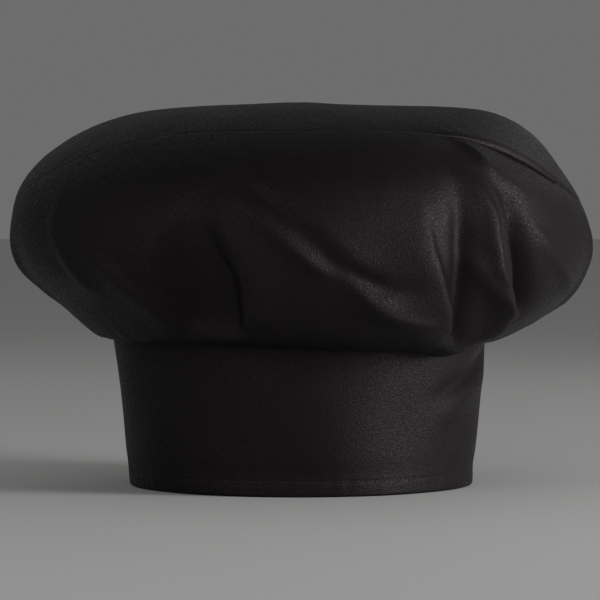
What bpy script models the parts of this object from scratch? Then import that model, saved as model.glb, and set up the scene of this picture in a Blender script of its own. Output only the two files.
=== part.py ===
"""A chef toque: a tall stiffened head band, closed at the back by a hook-and-loop tab, and a full soft crown.

Metres, +Z up. The origin is the middle of the band's lower rim, the front faces -Y and the tab is at +Y.
Azimuths are degrees from +X, anticlockwise seen from above, so the front is 270 and the back is 90.
"""

import math

import bpy
from mathutils import Matrix, Vector

MM = 0.001

# Driving dimensions
BAND_HEIGHT = 82 * MM
BAND_LOW_RADIUS = 95 * MM  # mean radius of the outer face at the rim
BAND_TOP_RADIUS = 103.5 * MM  # and at the crown seam
OVAL = 3.5 * MM  # the head oval: this much narrower across and longer front to back
TOTAL_HEIGHT = 203 * MM
CROWN_RADIUS = 157.5 * MM
CROWN_WIDEST_HEIGHT = 136 * MM
CROWN_LOW_HEIGHT = 79 * MM  # the crown sags this low, just past the seam
CROWN_SEAM_ANGLE = 34  # degrees up the crown's upper curve to the top panel's seam
SEAM_HALF_ANGLE = 4.5  # degrees of that curve from the seam to each edge of its binding
FACET = 6  # degrees of azimuth for each facet

# Cloth and trim
GAP = 0.3 * MM  # kept between pieces that touch
CROWN_CLOTH = 0.8 * MM
BAND_CLOTH = 0.6 * MM
FACING_CLOTH = 0.5 * MM
INTERLINING = 0.8 * MM
BINDING = 0.5 * MM
BINDING_WIDTH = 9 * MM
SWEATBAND = 1.2 * MM
SWEATBAND_HEIGHTS = (1.5 * MM, 36 * MM)
HEM_DEPTH = 8 * MM
TAPE = 0.8 * MM
TAPE_ROWS = {"lower": (17 * MM, 35 * MM), "upper": (47 * MM, 65 * MM)}
TAPE_STITCH_INSET = 2 * MM
THREAD_RADIUS = 0.25 * MM
LABEL = 0.4 * MM
LABEL_HEIGHTS = (44 * MM, BAND_HEIGHT - BINDING_WIDTH - GAP)

# Azimuths of the closure
BAND_ROOT = 108  # where the band's cloth runs on as the tab
UNDER_END = 103 + 360  # free end of the band, under the tab
TAB_ROOT = BAND_ROOT - 0.25
TAB_END = 72
TAB_LAYERS_START = 101  # the tab's inner layers start past its root
TAB_HEIGHTS = (10 * MM, 74 * MM)
TAB_CORNER = 12 * MM
TAB_STITCH_INSET = 3 * MM
TAB_TAPE = (75.5, 94)
LOOP_TAPE = (58, 100)
LABEL_AZIMUTHS = (120, 138)

HULL_EXPONENT = 2.5  # of the superellipse that the crown's upper curve follows


def band_radius(height):
    """Mean radius of the band's outer face at a height."""
    return BAND_LOW_RADIUS + (BAND_TOP_RADIUS - BAND_LOW_RADIUS) * height / BAND_HEIGHT


def oval(radius, azimuth, height):
    """A point on the head oval of that mean radius. Near the axis the oval becomes a circle."""
    shift = OVAL * min(1, radius / BAND_LOW_RADIUS)
    turn = math.radians(azimuth)
    return Vector(((radius - shift) * math.cos(turn), (radius + shift) * math.sin(turn), height))


def band_point(offset, azimuth, height):
    """A point that far outside the band's outer face, or inside it where offset is negative."""
    return oval(band_radius(height) + offset, azimuth, height)


def fabric(name, color, roughness):
    material = bpy.data.materials.new(name)
    material.use_nodes = True
    shader = material.node_tree.nodes["Principled BSDF"]
    shader.inputs["Base Color"].default_value = (*color, 1)
    shader.inputs["Roughness"].default_value = roughness
    shader.inputs["Metallic"].default_value = 0
    return material


def finish(node, material):
    """Puts an object in the toque's collection with its material and smooth round faces."""
    if node.type == "MESH":
        node.data.shade_smooth()
        node.data.set_sharp_from_angle(angle=math.radians(35))
    node.data.materials.append(material)
    bpy.data.collections["chef_toque"].objects.link(node)
    return node


def solidify(node, thickness):
    """Gives an open sheet its thickness, all of it behind the outer face."""
    wall = node.modifiers.new("thickness", "SOLIDIFY")
    wall.thickness = thickness
    wall.offset = -1
    wall.use_even_offset = True


def turned_shell(name, profile, thickness, material):
    """A shell turned through a full circle, then drawn out to the head oval.

    The profile is (radius, height) points of the outer face, from the top down.
    """
    mesh = bpy.data.meshes.new(name + "_profile")
    edges = [(i, i + 1) for i in range(len(profile) - 1)]
    mesh.from_pydata([(radius, 0, height) for radius, height in profile], edges, [])
    lathe = bpy.data.objects.new(name + "_lathe", mesh)
    bpy.context.scene.collection.objects.link(lathe)
    screw = lathe.modifiers.new("turn", "SCREW")
    screw.steps = 360 // FACET
    screw.render_steps = screw.steps
    screw.use_merge_vertices = True
    screw.merge_threshold = 0.00001
    graph = bpy.context.evaluated_depsgraph_get()
    turned = bpy.data.meshes.new_from_object(lathe.evaluated_get(graph))
    bpy.data.objects.remove(lathe)
    for vertex in turned.vertices:
        radius = math.hypot(vertex.co.x, vertex.co.y)
        azimuth = math.degrees(math.atan2(vertex.co.y, vertex.co.x))
        vertex.co = oval(radius, azimuth, vertex.co.z)
    shell = bpy.data.objects.new(name, turned)
    solidify(shell, thickness)
    return finish(shell, material)


def mapped_sheet(name, columns, rows, place, thickness, material):
    """A sheet of cloth bent into place: place(column, row) says where each of its points goes."""
    points = [place(column, row) for row in rows for column in columns]
    width = len(columns)
    faces = []
    for row in range(len(rows) - 1):
        for column in range(width - 1):
            corner = row * width + column
            faces.append((corner, corner + 1, corner + width + 1, corner + width))
    mesh = bpy.data.meshes.new(name)
    mesh.from_pydata(points, [], faces)
    sheet = bpy.data.objects.new(name, mesh)
    solidify(sheet, thickness)
    return finish(sheet, material)


def azimuths(start, end):
    """Azimuths from start to end, about a facet apart."""
    count = max(1, round(abs(end - start) / FACET))
    return [start + (end - start) * i / count for i in range(count + 1)]


def band_strip(name, span, heights, offset, thickness, material):
    """A layer of the band: its outer face is at that offset, over a span of azimuth and heights."""
    return mapped_sheet(
        name,
        azimuths(*span),
        heights,
        lambda azimuth, height: band_point(offset, azimuth, height),
        thickness,
        material,
    )


def thread(name, points, closed, material):
    """A line of stitching as one thread through those points."""
    curve = bpy.data.curves.new(name, "CURVE")
    curve.dimensions = "3D"
    curve.bevel_depth = THREAD_RADIUS
    curve.bevel_resolution = 0
    curve.use_fill_caps = True
    spline = curve.splines.new("POLY")
    spline.points.add(len(points) - 1)
    for slot, point in zip(spline.points, points):
        slot.co = (*point, 1)
    spline.use_cyclic_u = closed
    return finish(bpy.data.objects.new(name, curve), material)


def stitched_box(name, span, heights, surface, material):
    """A rectangle of stitching on the face at that offset from the band."""
    offset = surface + GAP + THREAD_RADIUS
    around = azimuths(*span)
    low, high = heights
    points = [band_point(offset, azimuth, low) for azimuth in around]
    points += [band_point(offset, azimuth, high) for azimuth in reversed(around)]
    return thread(name, points, True, material)


# The crown


def crown_upper(angle):
    """(radius, height) on the crown's upper curve: 90 degrees is the top, 0 the widest line."""
    power = 2 / HULL_EXPONENT
    turn = math.radians(angle)
    rise = TOTAL_HEIGHT - CROWN_WIDEST_HEIGHT
    out = max(0, math.cos(turn)) ** power if angle < 90 else 0
    return CROWN_RADIUS * out, CROWN_WIDEST_HEIGHT + rise * math.sin(turn) ** power


def crown_lower(angle):
    """(radius, height) on the crown's lower curve: 0 degrees is the widest line, 90 the lowest."""
    turn = math.radians(angle)
    middle = BAND_TOP_RADIUS + 3.5 * MM
    drop = CROWN_WIDEST_HEIGHT - CROWN_LOW_HEIGHT
    return (
        middle + (CROWN_RADIUS - middle) * math.cos(turn),
        CROWN_WIDEST_HEIGHT - drop * math.sin(turn),
    )


def crown_top(cloth):
    """The top panel, a shallow dome."""
    angles = [90, 82, 73, 63, 52, CROWN_SEAM_ANGLE + SEAM_HALF_ANGLE, CROWN_SEAM_ANGLE]
    return turned_shell("crown_top", [crown_upper(a) for a in angles], CROWN_CLOTH, cloth)


def crown_side(cloth):
    """The side panel, from the top seam round the widest line and back in to the band's top edge."""
    seam_radius, seam_height = crown_upper(CROWN_SEAM_ANGLE)
    lean = math.radians(50)  # the curve's slope at the seam, for a gap measured along the cloth
    profile = [(seam_radius + GAP * math.cos(lean), seam_height - GAP * math.sin(lean))]
    profile += [crown_upper(angle) for angle in (CROWN_SEAM_ANGLE - SEAM_HALF_ANGLE, 21, 13, 6)]
    profile += [crown_lower(angle) for angle in range(0, 91, 15)]
    rim = BAND_HEIGHT + 3 * GAP
    profile += [
        (BAND_TOP_RADIUS + 0.9 * MM, BAND_HEIGHT - 0.6 * MM),
        (BAND_TOP_RADIUS + 0.2 * MM, rim),
        (BAND_TOP_RADIUS - 4 * MM, rim),
    ]
    return turned_shell("crown_side", profile, CROWN_CLOTH, cloth)


def crown_seam_binding(cloth):
    """The tape that covers the raw edges of the top seam, inside the crown."""
    profile = []
    for step in (SEAM_HALF_ANGLE, 0, -SEAM_HALF_ANGLE):
        angle = CROWN_SEAM_ANGLE + step
        here, ahead = Vector(crown_upper(angle)), Vector(crown_upper(angle - 1))
        along = (ahead - here).normalized()
        inward = Vector((along.y, -along.x)) * (CROWN_CLOTH + 2 * GAP)
        profile.append(here + inward)
    return turned_shell("crown_seam_binding", profile, BINDING, cloth)


# The band


def band_shell(cloth):
    """The outer cloth, turned in at the rim to make the hem."""
    turn_in = 2 * BAND_CLOTH + 2 * GAP + INTERLINING
    rows = [(-turn_in, HEM_DEPTH), (-turn_in, 0), (0, 0), (0, BAND_HEIGHT)]
    return mapped_sheet(
        "band_shell",
        azimuths(BAND_ROOT, UNDER_END),
        rows,
        lambda azimuth, row: band_point(row[0], azimuth, row[1]),
        BAND_CLOTH,
        cloth,
    )


def band_layers(cloth, stiff, towelling):
    """The layers behind the outer cloth, from the outside in. Returns the depth of the last one."""
    span = (BAND_ROOT, UNDER_END)
    depth = BAND_CLOTH + GAP
    band_strip("band_interlining", span, (1 * MM, BAND_HEIGHT), -depth, INTERLINING, stiff)
    depth += INTERLINING + GAP + BAND_CLOTH + GAP
    band_strip("band_facing", span, (1 * MM, BAND_HEIGHT), -depth, FACING_CLOTH, cloth)
    depth += FACING_CLOTH + GAP
    band_strip("sweatband", span, SWEATBAND_HEIGHTS, -depth, SWEATBAND, towelling)
    return depth


def band_seam_binding(depth, cloth):
    """The tape over the crown seam. It runs all the way round, across the band's opening too."""
    profile = [
        (band_radius(height) - depth, height)
        for height in (BAND_HEIGHT - GAP, BAND_HEIGHT - BINDING_WIDTH)
    ]
    turned_shell("band_seam_binding", profile, BINDING, cloth)


def care_label(depth, satin):
    """A blank label, hung from the seam tape inside the back."""
    band_strip("care_label", LABEL_AZIMUTHS, LABEL_HEIGHTS, -depth, LABEL, satin)


def band_stitching(depth, cotton):
    """The hem's row outside, and the row that holds the sweatband inside."""
    around = azimuths(BAND_ROOT, UNDER_END)
    hem = [band_point(GAP + THREAD_RADIUS, azimuth, HEM_DEPTH) for azimuth in around]
    thread("hem_topstitch", hem, False, cotton)
    inside = -(depth + SWEATBAND + GAP + THREAD_RADIUS)
    low = SWEATBAND_HEIGHTS[0] + TAPE_STITCH_INSET
    thread("sweatband_stitch", [band_point(inside, azimuth, low) for azimuth in around], False, cotton)


def loop_tapes(pile, cotton):
    """Two strips of loop tape on the outside of the band's free end, each stitched round its edge."""
    for row, (low, high) in TAPE_ROWS.items():
        band_strip("loop_tape_" + row, LOOP_TAPE, (low, high), GAP + TAPE, TAPE, pile)
        stitched_box(
            "loop_stitch_" + row,
            (LOOP_TAPE[0] + 1.2, TAB_END - 1.2),
            (low + TAPE_STITCH_INSET, high - TAPE_STITCH_INSET),
            GAP + TAPE,
            cotton,
        )


def bar_tacks(cotton):
    """A short dense bar of thread at each corner of the tab's root, on the band."""
    for row, height in {"lower": TAB_HEIGHTS[0] + 1 * MM, "upper": TAB_HEIGHTS[1] - 9 * MM}.items():
        points = [
            band_point(GAP + THREAD_RADIUS, BAND_ROOT + 1.5, height + step * 2 * MM)
            for step in range(5)
        ]
        thread("bar_tack_" + row, points, False, cotton)


# The tab


def tab_outline(azimuth, side):
    """Height of the tab's lower (side 0) or upper (side 1) edge, with round corners at its free end."""
    arc = math.radians(azimuth - TAB_END) * band_radius(BAND_HEIGHT / 2)
    short = max(0, TAB_CORNER - arc)
    cut = TAB_CORNER - math.sqrt(max(0, TAB_CORNER**2 - short**2))
    low, high = TAB_HEIGHTS
    return high - cut if side else low + cut


def tab_sheet(name, columns, offset, inset, thickness, material):
    """A layer of the tab. offset(azimuth) is its outer face, and inset pulls its edges in."""

    def place(azimuth, side):
        edge = tab_outline(azimuth, side) + (-inset if side else inset)
        return band_point(offset(azimuth), azimuth, edge)

    return mapped_sheet(name, columns, (0, 1), place, thickness, material)


def tab_columns(start):
    """Azimuths from the tab's root to its free end, closer together round the corners."""
    corner = [78.4, 76.4, 74.6, 73.2, 72.4, TAB_END]
    return sorted(azimuths(start, 84) + corner)


def closure_tab(cloth, stiff, hooks, cotton):
    """The tab: hook tape, facing, interlining and outer cloth, from the inside out."""
    pieces = []
    offset = GAP + TAPE + GAP + TAPE
    for row, heights in TAPE_ROWS.items():
        pieces.append(band_strip("hook_tape_" + row, TAB_TAPE, heights, offset, TAPE, hooks))

    layers = tab_columns(TAB_LAYERS_START)
    facing = offset + GAP + FACING_CLOTH
    core = facing + GAP + INTERLINING
    outer = core + GAP + BAND_CLOTH
    pieces.append(tab_sheet("tab_facing", layers, lambda _: facing, 0, FACING_CLOTH, cloth))
    pieces.append(tab_sheet("tab_interlining", layers, lambda _: core, 1 * MM, INTERLINING, stiff))

    def shell_offset(azimuth):
        """The cloth steps out from the band's face to pass over the band's free end."""
        share = min(1, max(0, (TAB_ROOT - azimuth) / (TAB_ROOT - 102)))
        return outer * share * share * (3 - 2 * share)

    columns = sorted(tab_columns(102) + [103.5, 105, 106.5, TAB_ROOT])
    pieces.append(tab_sheet("tab_shell", columns, shell_offset, 0, BAND_CLOTH, cloth))

    for row, (low, high) in TAPE_ROWS.items():
        box = (low + TAPE_STITCH_INSET, high - TAPE_STITCH_INSET)
        pieces.append(stitched_box("hook_stitch_" + row, (77.5, 92.5), box, outer, cotton))
    surface = outer + GAP + THREAD_RADIUS
    around = [a for a in tab_columns(96) if a > TAB_END + 1.5]
    path = [edge_stitch_point(a, 0, surface) for a in reversed(around)]
    path += [edge_stitch_point(a, 1, surface) for a in around]
    pieces.append(thread("tab_edge_stitch", path, False, cotton))
    return pieces


def edge_stitch_point(azimuth, side, surface):
    """A point of the row of stitching that follows the tab's edge."""
    height = tab_outline(azimuth - 1.6, side)
    return band_point(surface, azimuth, height + (-TAB_STITCH_INSET if side else TAB_STITCH_INSET))


def hang(pieces, point):
    """Hangs the pieces on an empty at their hinge, where they are."""
    hinge = bpy.data.objects.new("closure_tab_hinge", None)
    hinge.location = point
    bpy.data.collections["chef_toque"].objects.link(hinge)
    for piece in pieces:
        piece.parent = hinge
        piece.matrix_parent_inverse = Matrix.Translation(-point)


def main():
    for leftover in list(bpy.data.objects):
        bpy.data.objects.remove(leftover)
    toque = bpy.data.collections.new("chef_toque")
    bpy.context.scene.collection.children.link(toque)

    twill = fabric("black_twill", (0.012, 0.011, 0.011), 0.8)
    stiff = fabric("black_interlining", (0.03, 0.03, 0.03), 0.9)
    towelling = fabric("black_towelling", (0.016, 0.015, 0.015), 0.95)
    pile = fabric("black_loop_pile", (0.015, 0.015, 0.016), 0.9)
    hooks = fabric("black_hook_tape", (0.018, 0.018, 0.019), 0.5)
    cotton = fabric("black_thread", (0.02, 0.019, 0.019), 0.6)
    satin = fabric("white_label", (0.75, 0.75, 0.73), 0.5)

    crown_top(twill)
    crown_side(twill)
    crown_seam_binding(twill)
    band_shell(twill)
    depth = band_layers(twill, stiff, towelling)
    band_seam_binding(depth, twill)
    care_label(depth, satin)
    band_stitching(depth, cotton)
    loop_tapes(pile, cotton)
    bar_tacks(cotton)
    tab = closure_tab(twill, stiff, hooks, cotton)
    hang(tab, band_point(0, TAB_ROOT, sum(TAB_HEIGHTS) / 2))


main()
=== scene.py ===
"""The chef toque as it looks: a soft black twill crown on a stiff stitched band, with a tab at the back.

Metres, in the CAD's frame: +Z up, the front faces -Y. Azimuths are degrees anticlockwise from +X seen
from above, so the front is 270 and the back is 90. A place on the crown is an azimuth and an arc, which is
the way along the cloth from the middle of the top. A place on the band is an azimuth, a height and an
offset outward from its outer face.
"""

import math
import random

import bpy
import numpy as np
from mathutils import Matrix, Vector


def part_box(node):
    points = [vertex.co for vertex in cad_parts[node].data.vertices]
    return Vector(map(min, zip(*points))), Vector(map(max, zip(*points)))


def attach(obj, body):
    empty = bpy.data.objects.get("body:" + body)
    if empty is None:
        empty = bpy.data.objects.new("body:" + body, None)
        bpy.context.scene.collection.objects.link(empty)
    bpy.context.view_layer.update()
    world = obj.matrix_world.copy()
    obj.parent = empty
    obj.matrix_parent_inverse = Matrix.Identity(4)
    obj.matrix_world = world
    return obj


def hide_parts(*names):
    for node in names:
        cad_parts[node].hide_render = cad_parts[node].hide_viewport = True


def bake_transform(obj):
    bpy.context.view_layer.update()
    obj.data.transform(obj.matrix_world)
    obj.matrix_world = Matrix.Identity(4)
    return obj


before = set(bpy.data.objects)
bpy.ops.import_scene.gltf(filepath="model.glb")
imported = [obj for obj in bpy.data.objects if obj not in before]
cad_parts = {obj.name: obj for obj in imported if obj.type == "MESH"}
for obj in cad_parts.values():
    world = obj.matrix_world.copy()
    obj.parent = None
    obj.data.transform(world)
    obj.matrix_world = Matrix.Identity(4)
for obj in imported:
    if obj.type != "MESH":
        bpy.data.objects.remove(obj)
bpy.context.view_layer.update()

MM = 0.001

# The shape, from the CAD
SIDE_LOW, SIDE_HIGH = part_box("crown_side")
TOP_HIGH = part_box("crown_top")[1]
BAND_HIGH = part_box("band_shell")[1]
CROWN_RADIUS = (SIDE_HIGH.x + SIDE_HIGH.y) / 2
OVAL = (SIDE_HIGH.y - SIDE_HIGH.x) / 2
WIDEST = max(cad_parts["crown_side"].data.vertices, key=lambda v: v.co.x).co.z
UPPER_EXPONENT = 2.5
BAND_HEIGHT = BAND_HIGH.z
BAND_TOP_RADIUS = BAND_HIGH.x + OVAL
RIM = [v.co.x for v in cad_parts["band_shell"].data.vertices if v.co.z < 0.5 * MM]
BAND_LOW_RADIUS = max(RIM) + OVAL
SEAM_POINT = (BAND_TOP_RADIUS - 0.4 * MM, BAND_HEIGHT - 0.5 * MM)  # where the crown is sewn in

# Layers of the band, as offsets of their outer faces, and their thicknesses
CLOTH = 0.6 * MM
STIFFENER = (-0.9 * MM, 0.8 * MM)
HEM_FLAP = -2.6 * MM
LINING = (-2.9 * MM, 0.5 * MM)
TOWELLING = (-3.7 * MM, 1.2 * MM)
BINDING = (-3.7 * MM, 0.5 * MM)
TAPE_WIDTH = 10 * MM
BINDING_LOW = BAND_HEIGHT - TAPE_WIDTH
TOWELLING_HEIGHTS = (1.5 * MM, 36 * MM)
HEM_LINE = 8 * MM
CROWN_CLOTH = 0.7 * MM
LABEL_SPAN = (121, 137)

# Azimuths and heights of the closure. The band runs from the tab's root nearly once round to its other end,
# which lies under the tab.
BACK = 90
BAND_ROOT = 108.0
UNDER_END = 463.0
TAB_STEPPED = 102.0  # from here on the tab lies fully outside the band
TAB_END = 72.0
HINGE_HEIGHT = 42 * MM
TAB_OUT = 5.0 * MM  # offset of the tab's outer face
TAB_HALF = 1.25 * MM  # half the tab's thickness
TAB_HEIGHTS = (10 * MM, 74 * MM)
TAB_WIDTH = TAB_HEIGHTS[1] - TAB_HEIGHTS[0]
TAB_CORNER = 12 * MM
TAPE_ROWS = {"lower": (17 * MM, 35 * MM), "upper": (47 * MM, 65 * MM)}
HOOK_SPAN = (75.5, 94.0)
LOOP_SPAN = (58.0, 100.0)


def smooth(low, high, value):
    """0 below low, 1 above high, and an even curve between."""
    share = np.clip((value - low) / (high - low), 0, 1)
    return share * share * (3 - 2 * share)


def within(value, start, full, ebb, end):
    """1 from full to ebb, and an even curve to 0 at start and at end."""
    return smooth(start, full, value) * (1 - smooth(ebb, end, value))


def bell(away, width):
    """1 at no distance, falling evenly to nothing at about twice the width."""
    return np.exp(-((away / width) ** 2))


def running_total(steps):
    """0, and then the sum of the steps up to each."""
    return np.concatenate([[0], np.cumsum(steps)])


def lengths_along(x, y):
    """The distance along a line to each of its points."""
    return running_total(np.hypot(np.diff(x), np.diff(y)))


def waves(turn, count, swing, slow, shift=0):
    """Waves round the hat whose spacing is uneven. turn is the azimuth in radians."""
    return np.sin(count * turn + swing * np.sin(slow * turn + shift))


def unit(vectors):
    """The directions of an array of vectors."""
    return vectors / np.linalg.norm(vectors, axis=-1)[..., None]


def turn_from(azimuth, middle):
    """Degrees from the middle to an azimuth, from -180 to 180."""
    return (azimuth - middle + 180) % 360 - 180


def oval_point(radius, azimuth, height):
    """Points on the head oval, from numbers or from arrays of them."""
    shift = OVAL * np.minimum(1, radius / BAND_LOW_RADIUS)
    turn = np.radians(azimuth)
    x, y = (radius - shift) * np.cos(turn), (radius + shift) * np.sin(turn)
    return np.stack([x, y, height + 0 * turn], -1)


# Making objects


def show(thing):
    """Puts an object in the scene."""
    bpy.context.scene.collection.objects.link(thing)


def keep(piece, material, body, *nodes, slot="twill_black"):
    """Gives a piece its material and hides the CAD nodes that it stands for. Where body is a name, the
    piece moves with that body; any other body only has the piece baked in place.
    """
    show(piece)
    piece.data.materials.append(material)
    if isinstance(body, str):
        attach(piece, body)
    else:
        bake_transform(piece)
    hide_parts(*nodes)
    return piece


def keep_thread(rows, body, node_name):
    """Keeps a piece that is made of stitches."""
    return keep(rows, THREAD, body, node_name, slot="thread_black")


def mesh_object(name, points, faces, uvs=None):
    """A smooth mesh object. uvs holds one (u, v) in metres for each corner of each face."""
    mesh = bpy.data.meshes.new(name)
    mesh.from_pydata(np.asarray(points).reshape(-1, 3).tolist(), [], faces)
    if uvs is not None:
        layer = mesh.uv_layers.new(name="cloth")
        layer.data.foreach_set("uv", np.asarray(uvs, np.float32).reshape(-1))
    mesh.shade_smooth()
    return bpy.data.objects.new(name, mesh)


def grid_object(name, points, across, along, thickness=0):
    """A sheet from a grid of points, (rows, columns, 3), with its cloth coordinates across and along.

    Its outer face is the one that the grid's columns run anticlockwise round.
    """
    rows, columns = points.shape[:2]
    faces, uvs = [], []
    for row in range(rows - 1):
        for column in range(columns - 1):
            corners = [(row, column), (row, column + 1), (row + 1, column + 1), (row + 1, column)]
            faces.append([r * columns + c for r, c in corners])
            uvs += [(across[r, c], along[r, c]) for r, c in corners]
    sheet = mesh_object(name, points, faces, uvs)
    if thickness:
        wall = sheet.modifiers.new("thickness", "SOLIDIFY")
        wall.thickness = thickness
        wall.offset = -1
        wall.use_even_offset = True
    return sheet


def tube_rings(path, normals, radius, sides):
    """Rings of points round a path. normals say which way is up at each point of it."""
    path, normals = np.asarray(path, float), np.asarray(normals, float)
    along = unit(np.gradient(path, axis=0))
    side = unit(np.cross(along, normals))
    up = np.cross(side, along)
    turns = np.arange(sides) * 2 * math.pi / sides
    radius = np.broadcast_to(radius, len(path))
    round_it = np.cos(turns)[None, :, None] * side[:, None] + np.sin(turns)[None, :, None] * up[:, None]
    return path[:, None] + round_it * radius[:, None, None]


def tube_faces(start, rings, sides):
    """Faces of a capped tube whose points start at that index."""
    faces = [[start + i for i in reversed(range(sides))]]
    for ring in range(rings - 1):
        low = start + ring * sides
        for i in range(sides):
            j = (i + 1) % sides
            faces.append([low + i, low + j, low + sides + j, low + sides + i])
    top = start + (rings - 1) * sides
    faces.append([top + i for i in range(sides)])
    return faces


def tubes_object(name, paths, radius, sides=6):
    """Many small tubes as one mesh. paths: (points, normals) of each."""
    points, faces = [], []
    for path, normals in paths:
        rings = tube_rings(path, normals, radius, sides)
        faces += tube_faces(len(points), len(rings), sides)
        points.extend(rings.reshape(-1, 3))
    return mesh_object(name, points, faces)


def stitches(name, place, length, pitch=2.8 * MM, gap=0.6 * MM, radius=0.2 * MM, wobble=0.0):
    """A row of machine stitches. place(distance) gives a point on the cloth and its outward normal."""
    pick = random.Random(name)
    count = int(length / pitch)
    pitch = length / count
    rise = np.array([-0.9, 0.35, 0.75, 0.85, 0.75, 0.35, -0.9]) * radius
    paths = []
    for number in range(count):
        shares = np.linspace(gap / 2, pitch - gap / 2, len(rise)) + number * pitch
        points, normals = place(shares)
        side = unit(np.cross(normals, np.gradient(points, axis=0)))
        lean = pick.uniform(-1, 1) * wobble + 0.12 * radius
        slant = np.linspace(-1, 1, len(rise))[:, None] * lean
        paths.append((points + normals * rise[:, None] + side * slant, normals))
    return tubes_object(name, paths, radius * np.array([0.75, 1, 1, 1, 1, 1, 0.75]))


# Materials


def feed(tree, socket, value):
    """Sets an input, or links it where the value is a socket."""
    if isinstance(value, bpy.types.NodeSocket):
        tree.links.new(value, socket)
    else:
        socket.default_value = value


def node(tree, kind, **inputs):
    """A node and its inputs. An underscore stands for a space."""
    made = tree.nodes.new(kind)
    for name, value in inputs.items():
        feed(tree, made.inputs[name.replace("_", " ")], value)
    return made


# Colours of the gloss: the black cloth's is a little red
NEUTRAL = (1, 1, 1, 1)
WARM = (1, 0.88, 0.9, 1)


def blank_material(name, color, roughness, sheen=0.0, specular=0.5, tint=NEUTRAL):
    """A plain material, its node tree and its shader."""
    material = bpy.data.materials.new(name)
    material.use_nodes = True
    shader = material.node_tree.nodes["Principled BSDF"]
    values = {
        "Base Color": (*color, 1),
        "Roughness": roughness,
        "Specular IOR Level": specular,
        "Specular Tint": tint,
        "Sheen Weight": sheen,
        "Sheen Roughness": 0.45,
    }
    for socket, value in values.items():
        shader.inputs[socket].default_value = value
    return material, material.node_tree, shader


def math_node(tree, operation, a, b):
    """The result of a sum on two numbers or sockets."""
    made = tree.nodes.new("ShaderNodeMath")
    made.operation = operation
    feed(tree, made.inputs[0], a)
    feed(tree, made.inputs[1], b)
    return made.outputs[0]


def mixed_color(tree, share, first, second):
    """The first colour where share is 0, the second where it is 1."""
    mix = tree.nodes.new("ShaderNodeMix")
    mix.data_type = "RGBA"
    tree.links.new(share, mix.inputs[0])
    mix.inputs[6].default_value = (*first, 1)
    mix.inputs[7].default_value = (*second, 1)
    return mix.outputs[2]


def spread(tree, value, low, high):
    """value, from 0 to 1, as a number from low to high."""
    return node(tree, "ShaderNodeMapRange", Value=value, To_Min=low, To_Max=high).outputs[0]


def contrast(tree, value, low, high):
    """value, with low and all below it as 0, and high and all above it as 1."""
    return node(tree, "ShaderNodeMapRange", Value=value, From_Min=low, From_Max=high).outputs[0]


def cloth_surface(tree, shader, height, strength, depth, share, first, second):
    """Gives a shader bumps of that depth, and a colour that share mixes from two."""
    bump = node(tree, "ShaderNodeBump", Height=height, Strength=strength, Distance=depth)
    tree.links.new(bump.outputs[0], shader.inputs["Normal"])
    tree.links.new(mixed_color(tree, share, first, second), shader.inputs["Base Color"])


# The weave: the slopes of its ribs in degrees, how dense its yarn's unevenness is across and along (per
# metre), and how much the yarn and the rubbed patches change the roughness
RIB_SLOPES = (63, -27)
YARN_SCALES = ((1300, 1300, 1), (420, 1500, 1), (1500, 420, 1))
YARN_GLOSS = 0.2
PATCH_GLOSS = 0.05
PATCH_SCALE = 28.0


def twill(
    name, color, light, roughness, pitch=0.55 * MM, sheen=0.0, specular=0.5, depth=0.15 * MM, tint=WARM
):
    """Woven cloth: diagonal ribs crossed by threads, uneven yarn that glints, and soft rubbed patches."""
    material, tree, shader = blank_material(name, color, roughness, sheen, specular, tint)
    place = tree.nodes.new("ShaderNodeUVMap").outputs[0]
    ribs = []
    for slope in RIB_SLOPES:
        turned = node(tree, "ShaderNodeMapping", Vector=place, Rotation=(0, 0, math.radians(slope)))
        wave = node(tree, "ShaderNodeTexWave", Vector=turned.outputs[0], Scale=math.pi / (10 * pitch))
        wave.inputs["Distortion"].default_value = 0.4
        ribs.append(wave.outputs["Fac"])
    threads = math_node(tree, "MULTIPLY", ribs[0], spread(tree, ribs[1], 0.45, 1))
    yarns = []
    for scale in YARN_SCALES:
        stretched = node(tree, "ShaderNodeMapping", Vector=place, Scale=scale).outputs[0]
        yarn = node(tree, "ShaderNodeTexNoise", Vector=stretched, Scale=1.0, Detail=2.0, Roughness=0.6)
        yarns.append(contrast(tree, yarn.outputs["Fac"], 0.36, 0.66))
    grain = math_node(tree, "ADD", math_node(tree, "ADD", yarns[0], yarns[1]), yarns[2])
    grain = contrast(tree, grain, 0.6, 2.4)
    patch = node(tree, "ShaderNodeTexNoise", Vector=place, Scale=PATCH_SCALE, Detail=3.0)
    height = math_node(tree, "ADD", math_node(tree, "MULTIPLY", threads, 0.6), grain)
    fleck = math_node(tree, "MULTIPLY", grain, spread(tree, threads, 0.6, 1.2))
    cloth_surface(tree, shader, height, 0.7, depth, fleck, color, light)
    glint = spread(tree, grain, YARN_GLOSS, -YARN_GLOSS)
    rubbed = spread(tree, patch.outputs["Fac"], PATCH_GLOSS, -PATCH_GLOSS)
    gloss = math_node(tree, "ADD", glint, rubbed)
    tree.links.new(math_node(tree, "ADD", gloss, roughness), shader.inputs["Roughness"])
    return material


def pile(name, color, light, scale, depth, roughness=0.9, sheen=0.1):
    """Looped or felted cloth: rounded lumps."""
    material, tree, shader = blank_material(name, color, roughness, sheen, 0.3)
    place = tree.nodes.new("ShaderNodeTexCoord").outputs["Object"]
    lump = node(tree, "ShaderNodeTexVoronoi", Vector=place, Scale=scale)
    fuzz = node(tree, "ShaderNodeTexNoise", Vector=place, Scale=scale * 2.2, Detail=2.0)
    height = math_node(tree, "SUBTRACT", fuzz.outputs["Fac"], lump.outputs["Distance"])
    cloth_surface(tree, shader, height, 0.8, depth, fuzz.outputs["Fac"], color, light)
    return material


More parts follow.
